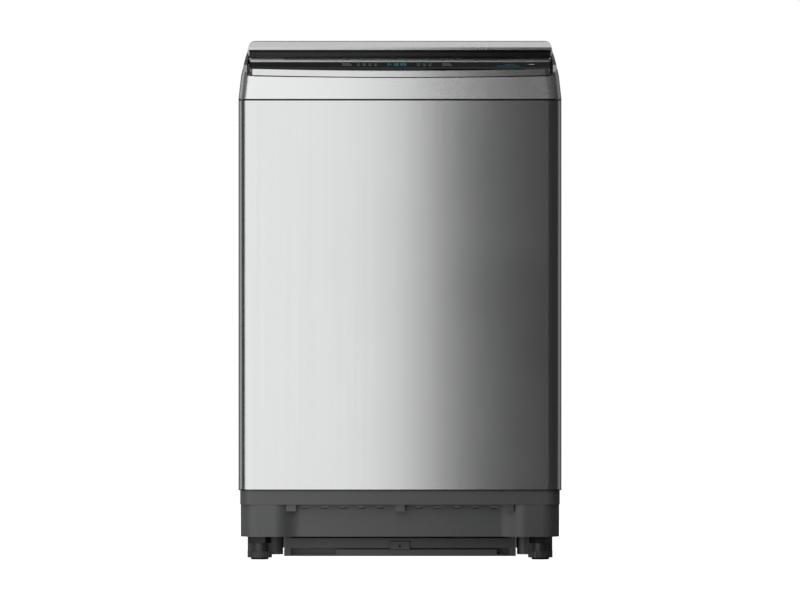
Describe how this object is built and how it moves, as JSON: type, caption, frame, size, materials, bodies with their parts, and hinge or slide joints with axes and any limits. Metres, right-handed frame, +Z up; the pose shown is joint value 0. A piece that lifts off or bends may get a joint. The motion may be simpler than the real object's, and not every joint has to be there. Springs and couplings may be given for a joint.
{
  "type": "top load washing machine",
  "caption": "Top load washing machine: silver sheet cabinet, dark base on levelling feet, hinged smoked glass lid, black touch panel, hung tub with basket and pulsator.",
  "frame": {"origin": "on the floor under the middle of the cabinet", "axes": "+Z up, the front faces -Y, +X to the right as seen from the front"},
  "size_m": [0.592, 0.6, 0.9415],
  "materials": {
    "black_glass": "black back-printed glass",
    "black_plastic": "black moulded plastic",
    "black_rubber": "moulded rubber",
    "cast_alloy": "die cast, as cast",
    "circuit": "circuit board with a display module",
    "copper_rotor": "laminated steel rotor with its shaft and belt wheel",
    "dark_plastic": "dark grey moulded plastic, fine grain",
    "grey_plastic": "grey polypropylene",
    "silver_plastic": "satin silver paint on moulded plastic",
    "silver_sheet": "satin silver lacquer with a fine brushed grain",
    "smoke_glass": "smoked tempered glass with a black border",
    "spring_steel": "spring steel wire",
    "stainless": "perforated stainless steel",
    "steel": "plain zinc-plated steel",
    "white_plastic": "white polypropylene"
  },
  "bodies": {
    "cabinet": {"base_frame": "dark_plastic", "bottom_guard": "dark_plastic", "foot_lock_nuts": "black_plastic", "cabinet_shell": "silver_sheet", "back_panel": "steel", "side_handle_left": "dark_plastic", "side_handle_right": "dark_plastic", "top_cover": "silver_plastic", "rear_hood": "silver_plastic", "lid_bushes": "black_plastic", "control_housing": "silver_plastic", "control_glass": "black_glass", "control_board": "circuit", "lid_lock": "black_plastic", "water_box": "white_plastic", "inlet_valves": "white_plastic", "drain_outlet": "black_plastic", "cord_gland": "black_rubber", "pressure_sensor": "black_plastic", "suspension_brackets": "steel", "suspension_rods": "steel", "suspension_springs": "spring_steel", "case_screws": "steel"},
    "lid": {"lid_glass": "smoke_glass", "lid_frame": "black_plastic", "lid_handle": "black_plastic", "lid_pins": "steel", "lid_bumpers": "black_rubber"},
    "tub": {"outer_tub": "grey_plastic", "tub_cover": "grey_plastic", "gearcase": "cast_alloy", "main_bearings": "steel", "support_bracket": "steel", "motor_housing": "cast_alloy", "drive_belt": "black_rubber", "drain_valve": "white_plastic", "damper_cups": "black_plastic"},
    "basket": {"wash_basket": "stainless", "basket_base": "grey_plastic", "balance_ring": "white_plastic", "spin_tube": "steel"},
    "pulsator": {"pulsator": "grey_plastic", "pulsator_cap": "stainless", "pulsator_shaft": "steel"},
    "pulley": {"drive_pulley": "cast_alloy"},
    "rotor": {"motor_rotor": "copper_rotor"},
    "drain_plug": {"drain_plug": "black_rubber"},
    "drawer": {"detergent_drawer": "white_plastic"},
    "start_key": {"start_button": "black_plastic"},
    "power_key": {"power_button": "black_plastic"},
    "filter_left": {"lint_filter_left": "white_plastic"},
    "filter_right": {"lint_filter_right": "white_plastic"},
    "foot_front_left": {"foot_front_left": "black_plastic", "foot_pad_front_left": "black_rubber"},
    "foot_front_right": {"foot_front_right": "black_plastic", "foot_pad_front_right": "black_rubber"},
    "foot_rear_left": {"foot_rear_left": "black_plastic", "foot_pad_rear_left": "black_rubber"},
    "foot_rear_right": {"foot_rear_right": "black_plastic", "foot_pad_rear_right": "black_rubber"}
  },
  "joints": [
    {"name": "lid_hinge", "type": "hinge", "parent": "cabinet", "child": "lid", "pos_m": [0, 0.16011, 0.9078], "axis": [-1, 0, 0], "range_deg": [0, 85]},
    {"name": "tub_travel", "type": "slide", "parent": "cabinet", "child": "tub", "axis": [0, 0, 1], "range_m": [-0.03, 0.01], "stiffness_N_per_m": 12000, "springref_m": 0.02085, "deforming": ["suspension_springs"]},
    {"name": "basket_spin", "type": "hinge", "parent": "tub", "child": "basket", "pos_m": [0, 0, 0.48], "axis": [0, 0, 1], "continuous": true},
    {"name": "pulsator_spin", "type": "hinge", "parent": "tub", "child": "pulsator", "pos_m": [0, 0, 0.26], "axis": [0, 0, 1], "continuous": true},
    {"name": "pulley_spin", "type": "hinge", "parent": "tub", "child": "pulley", "pos_m": [0, 0, 0.092], "axis": [0, 0, 1], "continuous": true},
    {"name": "rotor_spin", "type": "hinge", "parent": "tub", "child": "rotor", "pos_m": [-0.165, 0, 0.092], "axis": [0, 0, 1], "continuous": true},
    {"name": "drain_plug_slide", "type": "slide", "parent": "tub", "child": "drain_plug", "axis": [1, 0, 0], "range_m": [0, 0.012], "stiffness_N_per_m": 400, "springref_m": -0.005},
    {"name": "drawer_slide", "type": "slide", "parent": "cabinet", "child": "drawer", "axis": [0, -1, 0], "range_m": [0, 0.1]},
    {"name": "start_press", "type": "slide", "parent": "cabinet", "child": "start_key", "axis": [0, 0.1019, -0.9948], "range_m": [0, 0.001], "stiffness_N_per_m": 1500, "springref_m": -0.0004},
    {"name": "power_press", "type": "slide", "parent": "cabinet", "child": "power_key", "axis": [0, 0.1019, -0.9948], "range_m": [0, 0.001], "stiffness_N_per_m": 1500, "springref_m": -0.0004},
    {"name": "filter_left_tilt", "type": "hinge", "parent": "basket", "child": "filter_left", "pos_m": [-0.21469, 0, 0.458], "axis": [0, 1, 0], "range_deg": [0, 14]},
    {"name": "filter_right_tilt", "type": "hinge", "parent": "basket", "child": "filter_right", "pos_m": [0.21469, 0, 0.458], "axis": [0, -1, 0], "range_deg": [0, 14]},
    {"name": "foot_front_left_height", "type": "slide", "parent": "cabinet", "child": "foot_front_left", "axis": [0, 0, 1], "range_m": [0, 0.012]},
    {"name": "foot_front_right_height", "type": "slide", "parent": "cabinet", "child": "foot_front_right", "axis": [0, 0, 1], "range_m": [0, 0.012]},
    {"name": "foot_rear_left_height", "type": "slide", "parent": "cabinet", "child": "foot_rear_left", "axis": [0, 0, 1], "range_m": [0, 0.012]},
    {"name": "foot_rear_right_height", "type": "slide", "parent": "cabinet", "child": "foot_rear_right", "axis": [0, 0, 1], "range_m": [0, 0.012]}
  ],
  "couplings": [
    {"joint": "pulley_spin", "follows": "pulsator_spin", "ratio": 4},
    {"joint": "rotor_spin", "follows": "pulsator_spin", "ratio": 12}
  ]
}
